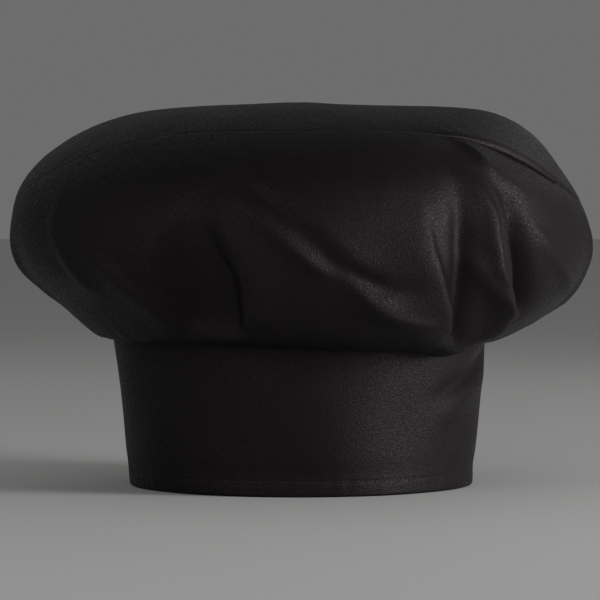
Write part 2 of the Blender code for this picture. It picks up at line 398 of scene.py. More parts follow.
def thread_material(name, color, light):
    """Twisted thread: fine slanting plies along it."""
    material, tree, shader = blank_material(name, color, 0.55, 0.05, 0.45)
    place = tree.nodes.new("ShaderNodeTexCoord").outputs["Object"]
    ply = node(tree, "ShaderNodeTexWave", Vector=place, Scale=420.0, Distortion=2.0, Detail=1.0)
    slant = ply.outputs["Fac"]
    cloth_surface(tree, shader, slant, 0.5, 0.04 * MM, slant, color, light)
    return material


BLACK_TWILL = twill(
    "black_twill",
    color=(0.0028, 0.0018, 0.0021),
    light=(0.0105, 0.0082, 0.0086),
    roughness=0.5,
    specular=0.34,
)
LINING_TWILL = twill("black_lining", (0.011, 0.0095, 0.01), (0.018, 0.016, 0.0165), 0.6, pitch=0.4 * MM)
TAPE_WEAVE = twill("black_tape", (0.013, 0.012, 0.012), (0.024, 0.022, 0.022), 0.6, pitch=0.7 * MM)
NONWOVEN = pile("black_nonwoven", (0.02, 0.02, 0.02), (0.045, 0.045, 0.045), 900.0, 0.1 * MM)
TERRY = pile("black_towelling", (0.01, 0.009, 0.009), (0.028, 0.026, 0.026), 620.0, 0.5 * MM, 0.95, 0.25)
LOOP_PILE = pile("black_loop_pile", (0.01, 0.01, 0.011), (0.03, 0.03, 0.031), 1400.0, 0.25 * MM, 0.85, 0.2)
THREAD = thread_material("black_thread", (0.012, 0.011, 0.011), (0.035, 0.032, 0.032))
NYLON = blank_material("black_nylon", (0.014, 0.014, 0.015), 0.35)[0]
SATIN = twill(
    "white_satin",
    color=(0.7, 0.7, 0.68),
    light=(0.8, 0.8, 0.78),
    roughness=0.45,
    pitch=0.3 * MM,
    sheen=0.1,
    depth=0.04 * MM,
    tint=NEUTRAL,
)


# The crown

COLUMNS = 320
TOP_ROWS = 52
SIDE_ROWS = 56
FOLD_FADE = 14 * MM
FOLD_ONSET = 22

# path: (azimuth, arc in mm) from the upper end to the lower. lift in mm, down where negative. left and
# right: how far the slope runs on each side, in mm, as seen from outside. lean: how far the crest is pushed
# over to the right, in mm. onset: how far below its upper end the fold is full, in mm, where it isn't
# FOLD_ONSET.
FRONT_FOLDS = [
    dict(
        path=[(263, 162), (271, 184), (277, 200), (282, 215), (287, 231), (295, 244), (303, 256)],
        lift=5.5, left=9, right=14, onset=34,
    ),
    dict(path=[(259, 160), (265, 172), (271, 186), (277, 202), (285, 216)], lift=-6, left=7, right=8),
    dict(path=[(254, 158), (260, 172), (267, 190), (275, 208)], lift=3.5, left=6, right=5),
    dict(
        path=[(294, 180), (295, 196), (297, 210), (300, 226), (302, 246)],
        lift=7, left=27, right=3.5, lean=2.5, onset=30,
    ),
    dict(
        path=[(302, 158), (302, 192), (302.5, 213), (304, 234), (307, 248)],
        lift=-6.5, left=7, right=9, onset=40,
    ),
    dict(path=[(304, 200), (308, 211), (313, 222), (317, 236)], lift=3, left=6, right=5),
    dict(
        path=[(306, 150), (309, 176), (309, 192), (310, 204), (313, 214), (316, 230), (318, 250)],
        lift=9, left=9.5, right=3.5, lean=3, onset=60,
    ),
    dict(
        path=[(314, 156), (316, 178), (317, 194), (320, 214), (324, 234)],
        lift=-13, left=4.5, right=13, onset=46,
    ),
    dict(path=[(320, 180), (328, 197), (337, 211), (346, 222)], lift=3, left=8, right=4, onset=30),
    dict(path=[(254, 172), (258, 194), (260, 216), (258, 240)], lift=3.5, left=5, right=20),
    dict(path=[(226, 196), (231, 210), (237, 228), (243, 244)], lift=4, left=14, right=5),
    dict(path=[(215, 172), (215, 188), (218, 206), (221, 222)], lift=2.2, left=9, right=12),
    dict(path=[(243, 168), (245, 182), (246, 196)], lift=1.5, left=6, right=6),
    dict(path=[(310, 130), (312, 148), (316, 168)], lift=3.6, left=3.5, right=20),
]

# Broad rises and hollows: azimuth, arc in mm, half-widths in degrees and in mm, lift in mm
BROAD_SHAPES = [
    (186, 236, 48, 26, -13),
    (186, 250, 40, 20, -2),
    (350, 250, 28, 22, -6),
    (290, 240, 22, 20, 5),
    (90, 240, 60, 30, -4),
    (0, 118, 62, 46, 7),
    (2, 154, 50, 26, -6.5),
    (0, 98, 40, 30, 2),
    (190, 96, 60, 46, 4),
    (270, 60, 50, 60, 3),
    (140, 190, 30, 40, 3),
    (40, 200, 26, 36, 2.5),
    (60, 90, 20, 50, -4),
    (120, 120, 22, 40, 3),
]

# The deep hollow at the front's left: its edges in degrees at each arc in mm, and its depth in mm
POCKET_ARCS = (176, 190, 212, 246)
POCKET_LEFT = (246, 243, 242, 241)
POCKET_RIGHT = (251, 253.5, 257, 257)
POCKET_DEPTH = 11

# Which of the possible sets of folds the sides and back have
BACK_FOLDS_SEED = 11

# How far the cloth hangs below its seam in places: azimuth, half-width in degrees, mm
DROOPS = [(312, 7, 4.5), (300, 34, 3), (70, 20, 2), (150, 15, 1.5)]

# Small gathers at the band. At the top panel's seam: puckers, which are stronger behind than in front, and
# where the seam shows as a ridge. Heights and depths in mm, azimuth and half-widths in degrees.
GATHER_LIFT = 0.5
PUCKER_LIFT = 0.06
PUCKER_LIFT_BEHIND = 0.34
RIDGE_AZIMUTH = 326
RIDGE_LIFT, RIDGE_WIDTH = 1.6, 16
DITCH_DEPTH = 0.04
RIDGE_DITCH_DEPTH, RIDGE_DITCH_WIDTH = 0.7, 20

# The smooth middle of the top is fitted to the cloth from the first of these arcs to the third. It is used
# up to the first, and less and less on to the second.
CALM_ARCS = (12 * MM, 24 * MM, 34 * MM)

# The drape. The groups say how firmly each point is held in place, and how much its cloth has to spare.
DRAPE_FRAMES = 24
DRAPE_GRAVITY = 0.3
DRAPE = dict(
    quality=6, mass=0.001, vertex_group_mass="held",
    tension_stiffness=12, compression_stiffness=12, shear_stiffness=5, bending_stiffness=0.6,
    tension_damping=8, compression_damping=8, shear_damping=5, bending_damping=0.6,
    vertex_group_shrink="loose", shrink_min=0, shrink_max=-0.09,
    use_pressure=True, uniform_pressure_force=0.8,
)


def crown_meridian():
    """(radius, height) along the crown from the middle of the top to the band, and the arc at each."""
    power = 2 / UPPER_EXPONENT
    points = [(0.0, TOP_HIGH.z)]
    for angle in np.linspace(89.9, 0, 120, endpoint=False):
        turn = math.radians(angle)
        height = WIDEST + (TOP_HIGH.z - WIDEST) * math.sin(turn) ** power
        points.append((CROWN_RADIUS * math.cos(turn) ** power, height))
    middle = BAND_TOP_RADIUS + 4 * MM
    for angle in np.linspace(0, 84, 100):
        turn = math.radians(angle)
        radius = middle + (CROWN_RADIUS - middle) * math.cos(turn)
        points.append((radius, WIDEST - (WIDEST - SIDE_LOW.z) * math.sin(turn)))
    start, end = Vector(points[-1]), Vector(SEAM_POINT)
    hook = Vector((BAND_TOP_RADIUS + 2.5 * MM, SIDE_LOW.z - 0.3 * MM))
    for share in np.linspace(0, 1, 13)[1:]:
        points.append(tuple(start.lerp(hook, share).lerp(hook.lerp(end, share), share)))
    points = np.array(points)
    return points, lengths_along(*points.T)


MERIDIAN, ARCS = crown_meridian()
SEAM_ARC = ARCS[-1]


def top_seam_arc(azimuth):
    """How far from the middle of the top its seam runs. It dips at the sides."""
    return (118 + 56 * np.cos(np.radians(azimuth)) ** 4) * MM


def crown_place(azimuth, arc):
    """The base surface, its outward normal and the direction round the hat."""
    radius, height = np.interp(arc, ARCS, MERIDIAN[:, 0]), np.interp(arc, ARCS, MERIDIAN[:, 1])
    ahead, behind = np.minimum(arc + 1.5 * MM, SEAM_ARC), np.maximum(arc - 1.5 * MM, 0)
    across = np.interp(ahead, ARCS, MERIDIAN[:, 0]) - np.interp(behind, ARCS, MERIDIAN[:, 0])
    down = np.interp(ahead, ARCS, MERIDIAN[:, 1]) - np.interp(behind, ARCS, MERIDIAN[:, 1])
    length = np.hypot(across, down)
    turn = np.radians(azimuth)
    out, rise = -down / length, across / length
    normal = np.stack([out * np.cos(turn), out * np.sin(turn), rise], -1)
    around = np.stack([-np.sin(turn), np.cos(turn), 0 * turn], -1)
    return oval_point(radius, azimuth, height), normal, around


def fold_shape(fold, azimuth, arc):
    """How much of a fold there is at each place, from 0 to 1."""
    path = np.array(fold["path"], float)
    arcs = path[:, 1] * MM
    centre = np.interp(arc, arcs, path[:, 0])
    tilt = np.interp(arc, arcs, np.gradient(np.radians(path[:, 0]), arcs))
    radius = np.interp(arc, ARCS, MERIDIAN[:, 0])
    off = turn_from(azimuth, centre)
    across = np.radians(off) * radius / np.sqrt(1 + (tilt * radius) ** 2)
    width = np.where(across < 0, fold["left"], fold["right"]) * MM
    body = 1 / (1 + (across / width) ** 2) ** 2
    full = arcs[0] + fold.get("onset", FOLD_ONSET) * MM
    return body * within(arc, arcs[0] - FOLD_FADE, full, arcs[-1] - FOLD_FADE / 2, arcs[-1] + FOLD_FADE / 2)


def pocket(azimuth, arc):
    """Depth of the hollow at the front's left. Its right edge is crisp."""
    arcs = np.array(POCKET_ARCS) * MM
    left, right = np.interp(arc, arcs, POCKET_LEFT), np.interp(arc, arcs, POCKET_RIGHT)
    across = within(azimuth, left - 4, left + 4, right - 1.2, right + 2.0)
    ends = within(arc, arcs[0] - 8 * MM, arcs[0] + 38 * MM, arcs[-1] - 14 * MM, arcs[-1] + 10 * MM)
    return POCKET_DEPTH * MM * across * ends


def back_folds():
    """Folds of the same kinds for the rest of the crown, spaced a little unevenly."""
    pick = random.Random(BACK_FOLDS_SEED)
    folds = []
    azimuth = -2.0
    while azimuth < 196:
        high, low = pick.uniform(168, 204), pick.uniform(226, 244)
        lean = pick.uniform(-12, 12)
        sharp = pick.random() < 0.35
        lift = pick.uniform(4, 7) if sharp else pick.uniform(2.5, 5)
        wide = pick.uniform(12, 22)
        thin = pick.uniform(5, 7) if sharp else pick.uniform(9, 14)
        left, right = (wide, thin) if pick.random() < 0.5 else (thin, wide)
        middle = (azimuth + lean * 0.35, (high + low) / 2)
        path = [(azimuth - lean * 0.6, high), middle, (azimuth + lean * 0.4, low)]
        folds.append(dict(path=path, lift=lift, left=left, right=right))
        azimuth += pick.uniform(12, 20)
    return folds


def seam_details(azimuth, arc):
    """Lifts of the small gathers at the band, of the puckers at the top seam and of its ridge."""
    turn = np.radians(azimuth)
    near = within(arc, SEAM_ARC - 46 * MM, SEAM_ARC - 14 * MM, SEAM_ARC - 8 * MM, SEAM_ARC)
    gathers = waves(turn, 37, 2.1, 3) + 0.6 * waves(turn, 61, 1.7, 5, 1)
    past = arc - top_seam_arc(azimuth)
    puckers = waves(turn, 41, 2.4, 5) + 0.6 * waves(turn, 67, 1.9, 3, 2)
    size = PUCKER_LIFT + PUCKER_LIFT_BEHIND * smooth(-0.35, 0.5, np.sin(turn))
    ridge = RIDGE_LIFT * bell(azimuth - RIDGE_AZIMUTH, RIDGE_WIDTH)
    step = np.where(past < 0, np.exp(past / (14 * MM)), -np.exp(-past / (5 * MM)))
    return (
        GATHER_LIFT * MM * near * gathers,
        size * MM * puckers * np.exp(-np.abs(past) / (9 * MM)),
        ridge * MM * step,
    )


def clear_of_band(place, arc):
    """Pushes the cloth that hangs beside the band out to just clear of it."""
    clear = BAND_TOP_RADIUS + 1.6 * MM
    inside = np.hypot(place[..., 0] / (clear - OVAL), place[..., 1] / (clear + OVAL))
    below = within(arc, 185 * MM, 200 * MM, SEAM_ARC - 12 * MM, SEAM_ARC - 4 * MM)
    place[..., :2] *= (1 + below * (np.maximum(1, 1 / np.maximum(inside, 0.1)) - 1))[..., None]


def crown_seed(azimuth, arc):
    """The crown before it is draped: base shape, folds, gathers at the band and the top panel's edge."""
    place, normal, around = crown_place(azimuth, arc)
    lift, lean = np.zeros_like(arc), np.zeros_like(arc)
    for fold in FRONT_FOLDS + back_folds():
        shape = fold_shape(fold, azimuth, arc)
        lift += fold["lift"] * MM * shape
        lean += fold.get("lean", 0) * MM * shape
    for middle, far, wide, tall, rise in BROAD_SHAPES:
        off = turn_from(azimuth, middle)
        lift += rise * MM * np.exp(-((off / wide) ** 2) - ((arc - far * MM) / (tall * MM)) ** 2)
    lift -= pocket(azimuth, arc)
    for detail in seam_details(azimuth, arc):
        lift += detail
    # low down, the folds stand out level rather than square to the cloth
    level = smooth(212 * MM, 240 * MM, arc)
    normal = unit(normal * np.stack([1 + 0 * level, 1 + 0 * level, 1 - level], -1))
    place = place + normal * lift[..., None] + around * lean[..., None]
    clear_of_band(place, arc)
    hang = within(arc, 228 * MM, 256 * MM, SEAM_ARC - 7 * MM, SEAM_ARC)
    for middle, wide, drop in DROOPS:
        place[..., 2] -= drop * MM * hang * bell(turn_from(azimuth, middle), wide)
    return place


def ring_columns(row):
    """The rings near the middle of the top have fewer points."""
    for limit, share in ((2, 16), (5, 8), (11, 4), (22, 2)):
        if row <= limit:
            return COLUMNS // share
    return COLUMNS


def crown_rings():
    """Azimuth and arc of every point of the crown, and its rings from the middle of the top outwards."""
    azimuths, arcs, rings = [0.0], [0.0], []
    for row in range(1, TOP_ROWS + SIDE_ROWS + 1):
        count = ring_columns(row)
        around = np.arange(count) * 360 / count
        seam = top_seam_arc(around)
        if row <= TOP_ROWS:
            arc = seam * row / TOP_ROWS
        else:
            arc = seam + (SEAM_ARC - seam) * (row - TOP_ROWS) / SIDE_ROWS
        rings.append(list(range(len(azimuths), len(azimuths) + count)))
        azimuths.extend(around)
        arcs.extend(arc)
    return np.array(azimuths), np.array(arcs), rings


def crown_faces(rings):
    """Faces of the crown, and how many of them are the top panel's."""
    faces = [[0, a, b] for a, b in zip(rings[0], rings[0][1:] + rings[0][:1])]
    top_count = 0
    for number, (inner, outer) in enumerate(zip(rings, rings[1:])):
        if number == TOP_ROWS - 1:
            top_count = len(faces)
        count = len(inner)
        for i in range(count):
            a, b = inner[i], inner[(i + 1) % count]
            if len(outer) == count:
                faces.append([a, outer[i], outer[(i + 1) % count], b])
            else:
                c, d, e = outer[2 * i], outer[2 * i + 1], outer[(2 * i + 2) % len(outer)]
                faces += [[a, c, d], [a, d, b], [b, d, e]]
    return faces, top_count


def crown_uvs(faces, azimuths, arcs, top_count):
    """Cloth coordinates: the top panel is a flat disc, and the side panel a strip."""
    uvs = []
    for number, face in enumerate(faces):
        first = azimuths[face[0]]
        for corner in face:
            azimuth, arc = azimuths[corner], arcs[corner]
            if number < top_count:
                turn = math.radians(azimuth)
                uvs.append((arc * math.cos(turn), arc * math.sin(turn)))
            else:
                azimuth += 360 if first - azimuth > 180 else 0
                uvs.append((math.radians(azimuth) * CROWN_RADIUS, arc))
    return uvs


def crown_cloth():
    """The whole crown as one sheet, seeded with its folds. Material 0 marks the top panel, 1 the side."""
    azimuths, arcs, rings = crown_rings()
    faces, top_count = crown_faces(rings)
    uvs = crown_uvs(faces, azimuths, arcs, top_count)
    crown = mesh_object("crown_cloth", crown_seed(azimuths, arcs), faces, uvs)
    show(crown)
    crown.data.materials.append(BLACK_TWILL)
    crown.data.materials.append(BLACK_TWILL)
    crown.data.polygons.foreach_set("material_index", [int(i >= top_count) for i in range(len(faces))])
    for name, values in (("azimuth", azimuths), ("arc", arcs)):
        kept = crown.data.attributes.new(name, "FLOAT", "POINT")
        kept.data.foreach_set("value", values.astype(np.float32))
    held = crown.vertex_groups.new(name="held")
    held.add(list(range(len(azimuths))), 0.05, "REPLACE")
    held.add(rings[-1] + rings[-2], 1.0, "REPLACE")
    loose = crown.vertex_groups.new(name="loose")
    share = 0.15 * smooth(60 * MM, 120 * MM, arcs) + 0.85 * smooth(185 * MM, 245 * MM, arcs)
    share *= 0.8 - 0.25 * np.cos(np.radians(azimuths - 275))
    for index, weight in enumerate(share):
        loose.add([index], float(weight), "REPLACE")
    return crown, rings


def baked(thing):
    """The mesh that an object's modifiers make."""
    return bpy.data.meshes.new_from_object(thing.evaluated_get(bpy.context.evaluated_depsgraph_get()))


def drape(crown):
    """Lets the crown settle: sewn at the band, held up by a little air, stiff, pulled by its weight."""
    cloth = crown.modifiers.new("drape", "CLOTH")
    for name, value in DRAPE.items():
        setattr(cloth.settings, name, value)
    cloth.settings.effector_weights.gravity = DRAPE_GRAVITY
    cloth.collision_settings.use_collision = False
    cloth.point_cache.frame_start = 1
    cloth.point_cache.frame_end = DRAPE_FRAMES
    for number in range(1, DRAPE_FRAMES + 1):
        bpy.context.scene.frame_set(number)
    settled = baked(crown)
    crown.modifiers.clear()
    crown.data = settled


def calm_middle(points, arcs):
    """Lays the middle of the top, where the cloth's rings close, on the smooth surface round it."""
    x, y, z = points.T
    terms = np.stack([np.ones_like(x), x, y, x * x, y * y, x * y], -1)
    start, end, far = CALM_ARCS
    near = (arcs > start) & (arcs < far)
    fit = np.linalg.lstsq(terms[near], z[near], rcond=None)[0]
    share = 1 - smooth(start, end, arcs)
    points[:, 2] = z + share * (terms @ fit - z)


def vertex_arrays(mesh):
    """Points and normals of a mesh, one row each."""
    points, normals = np.zeros(len(mesh.vertices) * 3), np.zeros(len(mesh.vertices) * 3)
    mesh.vertices.foreach_get("co", points)
    mesh.vertices.foreach_get("normal", normals)
    return points.reshape(-1, 3), normals.reshape(-1, 3)


def split_panels(crown):
    """The top panel and the side panel as two pieces that meet in the ditch of their seam."""
    smoothing = crown.modifiers.new("finer", "SUBSURF")
    smoothing.levels = smoothing.render_levels = 1
    mesh = baked(crown)
    points, normals = vertex_arrays(mesh)
    azimuths, arcs = np.zeros(len(points)), np.zeros(len(points))
    mesh.attributes["azimuth"].data.foreach_get("value", azimuths)
    mesh.attributes["arc"].data.foreach_get("value", arcs)
    calm_middle(points, arcs)
    past = arcs - top_seam_arc(azimuths)
    depth = DITCH_DEPTH + RIDGE_DITCH_DEPTH * bell(azimuths - RIDGE_AZIMUTH, RIDGE_DITCH_WIDTH)
    points -= normals * (depth * MM * bell(past, 1.3 * MM))[:, None]
    uvs = np.zeros(len(mesh.loops) * 2)
    mesh.uv_layers["cloth"].data.foreach_get("uv", uvs)
    uvs = uvs.reshape(-1, 2)
    pieces = []
    for index, name in enumerate(("top_panel", "side_panel")):
        chosen = [p for p in mesh.polygons if p.material_index == index]
        used = sorted({v for p in chosen for v in p.vertices})
        number = {v: i for i, v in enumerate(used)}
        faces = [[number[v] for v in p.vertices] for p in chosen]
        corner_uvs = np.concatenate([uvs[p.loop_start : p.loop_start + p.loop_total] for p in chosen])
        piece = mesh_object(name, points[used], faces, corner_uvs)
        wall = piece.modifiers.new("thickness", "SOLIDIFY")
        wall.thickness = CROWN_CLOTH
        wall.offset = -1
        pieces.append(piece)
    return pieces


def crown_binding(crown, rings):
    """The tape over the top seam's raw edges, inside the crown. It follows the draped seam."""
    points, normals = vertex_arrays(crown.data)
    upper, seam, lower = (rings[TOP_ROWS - 1 + step] for step in (-2, 0, 2))
    rows = []
    for share in (1, 0.4, -0.4, -1):
        other = upper if share > 0 else lower
        way = points[other] - points[seam]
        way *= (abs(share) * TAPE_WIDTH / 2) / np.linalg.norm(way, axis=1)[:, None]
        row = points[seam] + way - normals[seam] * 1.8 * MM
        rows.append(np.concatenate([row, row[:1]]))
    rows = np.array(rows)
    around = running_total(np.linalg.norm(np.diff(rows[1], axis=0), axis=1))
    across, along = np.meshgrid(around, np.linspace(0, TAPE_WIDTH, len(rows)))
    return grid_object("crown_seam_tape", rows, across, along, 0.5 * MM)


def build_crown():
    crown, rings = crown_cloth()
    drape(crown)
    top, side = split_panels(crown)
    tape = crown_binding(crown, rings)
    bpy.data.objects.remove(crown)
    keep(top, BLACK_TWILL, "hat", "crown_top")
    keep(side, BLACK_TWILL, "hat", "crown_side")
    keep(tape, TAPE_WEAVE, "hat", "crown_seam_binding")


# The band

# The line of the drawn crease on the wearer's left: a place on it, its rise in each degree, and its slope
CREASE_AZIMUTH = 338
CREASE_HEIGHT = 62 * MM
CREASE_RISE = 0.55 * MM
CREASE_SLOPE = 0.55 / 1.7


def drawn_crease(azimuth, height):
    """A crease from the crown seam on the wearer's left down towards the front, and the swell below it."""
    off = turn_from(azimuth, CREASE_AZIMUTH)
    away = (height - (CREASE_HEIGHT + off * CREASE_RISE)) / math.hypot(1, CREASE_SLOPE)
    reach = np.exp(-((off / 19) ** 4))
    return reach * (-3.4 * bell(away, 5 * MM) + 1.5 * bell(away + 11 * MM, 8 * MM))


def band_give(azimuth, height):
    """How far the band's layers stand out from the CAD's cone: it is cloth, and it gives a little."""
    turn = np.radians(azimuth)
    give = 0.5 * np.sin(3 * turn + 0.7) + 0.35 * np.sin(5 * turn + 2.4)
    give = give * (1 - smooth(30 * MM, BAND_HEIGHT, height))
    # the hem stands out a little, under a soft dip, with small uneven puckers at its stitches
    uneven = 0.55 + 0.45 * np.sin(4 * turn + 1.1) * np.sin(7 * turn + 0.4)
    give -= 1.0 * uneven * bell(height - 11.5 * MM, 5.5 * MM)
    pucker = waves(turn, 47, 2.6, 4) + 0.7 * waves(turn, 83, 2.1, 7)
    give += 0.07 * pucker * bell(height - 6 * MM, 7 * MM)
    give -= 0.2 * bell(height - HEM_LINE, 1.1 * MM)
    slack = np.sin(6 * turn + height * 70 + 1.5) + 0.7 * np.sin(11 * turn - height * 95 + 0.3)
    give += 0.28 * slack
    give += drawn_crease(azimuth, height)
    calm = 1 - np.exp(-((turn_from(azimuth, BACK) / 40) ** 4))  # flat where the tab closes on it
    return give * calm * MM


def band_point(azimuth, height, offset=0.0):
    """A point on the band, that far outside its outer face."""
    radius = BAND_LOW_RADIUS + (BAND_TOP_RADIUS - BAND_LOW_RADIUS) * np.clip(height, 0, None) / BAND_HEIGHT
    return oval_point(radius + band_give(azimuth, height) + offset, azimuth, height)


def band_normal(azimuth):
    """Outward normal of the band, which leans out towards its top."""
    turn = np.radians(azimuth)
    return unit(np.stack([np.cos(turn), np.sin(turn), np.full_like(turn, -0.1)], -1))


def metres_round(azimuth):
    """Azimuths as metres of cloth round the band."""
    return np.radians(azimuth) * (BAND_LOW_RADIUS + BAND_TOP_RADIUS) / 2


def band_sheet(name, azimuths, heights, offset, thickness):
    """A sheet that lies along the band, with its outer face at that offset."""
    around, up = np.meshgrid(azimuths, heights)
    return grid_object(name, band_point(around, up, offset), metres_round(around), up, thickness)


def band_layer(name, span, heights, offset, thickness, step=0.75):
    """One layer of the band over a span of azimuths."""
    azimuths = np.linspace(*span, max(2, round(abs(span[1] - span[0]) / step)))
    return band_sheet(name, azimuths, heights, offset, thickness)


def band_profile(name, azimuths, offsets, heights, thickness, bow=0):
    """A sheet along the band whose cross-section is a line. bow: how far each column stands out more."""
    around, up = np.meshgrid(azimuths, heights)
    along = np.broadcast_to(lengths_along(offsets, heights)[:, None], up.shape)
    points = band_point(around, up, np.broadcast_to(offsets[:, None], up.shape) + bow)
    return grid_object(name, points, metres_round(around), along, thickness)


def band_cloth():
    """The outer cloth, rolled under at the rim and turned up inside as the hem."""
    fold = abs(HEM_FLAP) / 2
    profile = [(HEM_FLAP, height) for height in np.linspace(HEM_LINE + 1 * MM, fold, 5)]
    for angle in np.linspace(180, 360, 9)[1:-1]:
        turn = math.radians(angle)
        profile.append((HEM_FLAP / 2 + fold * math.cos(turn), fold + fold * math.sin(turn)))
    upper = np.linspace(20 * MM, BAND_HEIGHT + 0.6 * MM, 42)[1:]
    heights = np.concatenate([np.linspace(fold, 20 * MM, 26), upper])
    profile += [(0.0, height) for height in heights]
    azimuths = np.linspace(BAND_ROOT, UNDER_END, 640)
    return band_profile("band_cloth", azimuths, *np.array(profile).T, 0.55 * MM)


def lining():
    """The facing, turned over the band's two ends so that they are closed."""
    heights = np.linspace(1.6 * MM, BAND_HEIGHT - 0.2 * MM, 30)
    azimuths = np.linspace(BAND_ROOT + 0.15, UNDER_END - 0.15, 480)
    azimuths = np.concatenate([[azimuths[0]] * 2, azimuths, [azimuths[-1]] * 2])
    offsets = np.full(len(azimuths), LINING[0])
    offsets[[0, -1]] = -0.75 * MM
    offsets[[1, -2]] = -1.9 * MM
    around, up = np.meshgrid(azimuths, heights)
    offset = np.broadcast_to(offsets, up.shape)
    lengths = metres_round(around) + (offset - LINING[0])
    return grid_object("band_lining", band_point(around, up, offset), lengths, up, LINING[1])


def on_band(height, offset, start):
    """A level line on the band for stitches: distance along it to points and normals."""

    def place(distance):
        azimuth = start + np.degrees(distance / BAND_LOW_RADIUS)
        side = 1 if offset >= 0 else -1
        return band_point(azimuth, height + 0 * azimuth, offset), band_normal(azimuth) * side

    return place


def build_band():
    cloth = keep(band_cloth(), BLACK_TWILL, "hat", "band_shell")
    span = (BAND_ROOT + 0.3, UNDER_END - 0.3)
    heights = np.linspace(2.2 * MM, BAND_HEIGHT - 0.3 * MM, 20)
    stiff = band_layer("band_stiffener", span, heights, *STIFFENER)
    keep(stiff, NONWOVEN, "hat", "band_interlining", slot="interlining_black")
    inner = keep(lining(), LINING_TWILL, "hat", "band_facing")
    heights = np.linspace(*TOWELLING_HEIGHTS, 16)
    towel = band_layer("sweatband_towelling", (BAND_ROOT + 0.6, UNDER_END - 0.6), heights, *TOWELLING)
    edge = towel.modifiers.new("round edge", "BEVEL")
    edge.width = 0.45 * MM
    edge.segments = 3
    edge.limit_method = "ANGLE"
    keep(towel, TERRY, "hat", "sweatband", slot="towelling_black")
    tape = band_layer("crown_seam_cover", (0, 360), np.linspace(BINDING_LOW, BAND_HEIGHT, 6), *BINDING)
    keep(tape, TAPE_WEAVE, "hat", "band_seam_binding")

    round_rim = 2 * math.pi * BAND_LOW_RADIUS * (UNDER_END - BAND_ROOT) / 360
    hem_line = on_band(HEM_LINE, 0, BAND_ROOT + 0.8)
    hem = stitches("hem_stitches", hem_line, round_rim - 3 * MM, wobble=0.05 * MM)
    keep_thread(hem, "hat", "hem_topstitch")
    low = TOWELLING_HEIGHTS[0] + 2 * MM
    depth = TOWELLING[0] - TOWELLING[1] + 0.1 * MM
    row = stitches("sweatband_stitches", on_band(low, depth, BAND_ROOT + 1.5), round_rim - 8 * MM, 3.2 * MM)
    keep_thread(row, "hat", "sweatband_stitch")


def build_label():
    """A blank satin label, folded double and caught in the seam tape. It stands off the band a little."""
    top, bottom = BINDING_LOW + 3 * MM, 45 * MM
    profile = []
    for share in np.linspace(0, 1, 14):
        profile.append((BINDING[0] - 0.75 * MM - 2.2 * MM * share**1.6, top + (bottom - top) * share))
    for angle in np.linspace(0, 180, 7)[1:-1]:
        turn = math.radians(angle)
        centre = BINDING[0] - 3.5 * MM
        profile.append((centre + 0.55 * MM * math.cos(turn), bottom - 0.55 * MM * math.sin(turn)))
    for share in np.linspace(1, 0, 14):
        profile.append((BINDING[0] - 1.4 * MM - 2.65 * MM * share**1.6, top + (bottom - top) * share))
    offsets, heights = np.array(profile).T
    azimuths = np.linspace(*LABEL_SPAN, 18)
    bow = 0.3 * MM * np.cos(np.radians((azimuths - sum(LABEL_SPAN) / 2) * 14))
    label = band_profile("blank_label", azimuths, offsets, heights, 0.18 * MM, bow)
    keep(label, SATIN, "hat", "care_label", slot="label_white")


# The closure


def tab_offset(azimuth):
    """Offset of the tab's outer face: it steps out from the band's face over the band's free end."""
    return TAB_OUT * smooth(0, 1, (BAND_ROOT - azimuth) / (BAND_ROOT - TAB_STEPPED))


def tab_edge_distance(azimuth, height):
    """How far inside the tab's edge a place is. The free end has round corners. The root has no edge."""
    across = metres_round(azimuth - TAB_END)
    middle = sum(TAB_HEIGHTS) / 2
    up = TAB_WIDTH / 2 - np.abs(height - middle)
    corner = TAB_CORNER - np.hypot(np.maximum(TAB_CORNER - across, 0), np.maximum(TAB_CORNER - up, 0))
    inside = np.where((across < TAB_CORNER) & (up < TAB_CORNER), corner, np.minimum(across, up))
    return np.maximum(inside, 0)


def tab_grid(start, side):
    """Points of one face of the tab, outer (side 1) or inner (side -1). The two meet at its rolled edge."""
    near_end = TAB_END + np.array([0, 0.08, 0.25, 0.5, 0.9, 1.4, 2.0, 2.7, 3.5, 4.4, 5.4, 6.5])
    columns = np.concatenate([near_end, np.linspace(79.4, start, 44)])[::-1]
    edges = np.array([0, 0.1, 0.3, 0.6, 1.0, 1.5, 2.1, 2.8, 3.4, 4.2, 5.2]) * MM
    half = TAB_WIDTH / 2
    steps = np.concatenate([edges, np.linspace(6.5 * MM, half, 14)])
    shares = np.concatenate([steps, 2 * half - steps[-2::-1]]) / (2 * half)
    around, share = np.meshgrid(columns, shares)
    across = np.maximum(TAB_CORNER - metres_round(around - TAB_END), 0)
    cut = TAB_CORNER - np.sqrt(np.maximum(TAB_CORNER**2 - across**2, 0))
    low, high = TAB_HEIGHTS[0] + cut, TAB_HEIGHTS[1] - cut
    up = low + (high - low) * share
    inside = tab_edge_distance(around, up)
    roll = np.clip(inside / (1.3 * MM), 0, 1)
    full = smooth(BAND_ROOT, 103, around)
    half_thick = TAB_HALF * full + 0.3 * MM * (1 - full)
    ditch = 0.16 * MM * bell(inside - 3 * MM, 0.8 * MM)
    ripple = 0.1 * MM * np.sin(metres_round(around) * 700 + up * 500) * bell(inside, 5 * MM)
    bulge = half_thick * np.sqrt(1 - (1 - roll) ** 2) - ditch + ripple * roll
    middle = tab_offset(around) - half_thick
    points = band_point(around, up, middle + side * bulge)
    return points, metres_round(around), up


def tab_face(name, start, side, thickness):
    """One face of the tab, from the azimuth of its root: outer (side 1) or inner (side -1)."""
    points, across, along = tab_grid(start, side)
    if side > 0:
        points, across, along = points[:, ::-1], across[:, ::-1], along[:, ::-1]
    return grid_object(name, points, across, along, thickness)


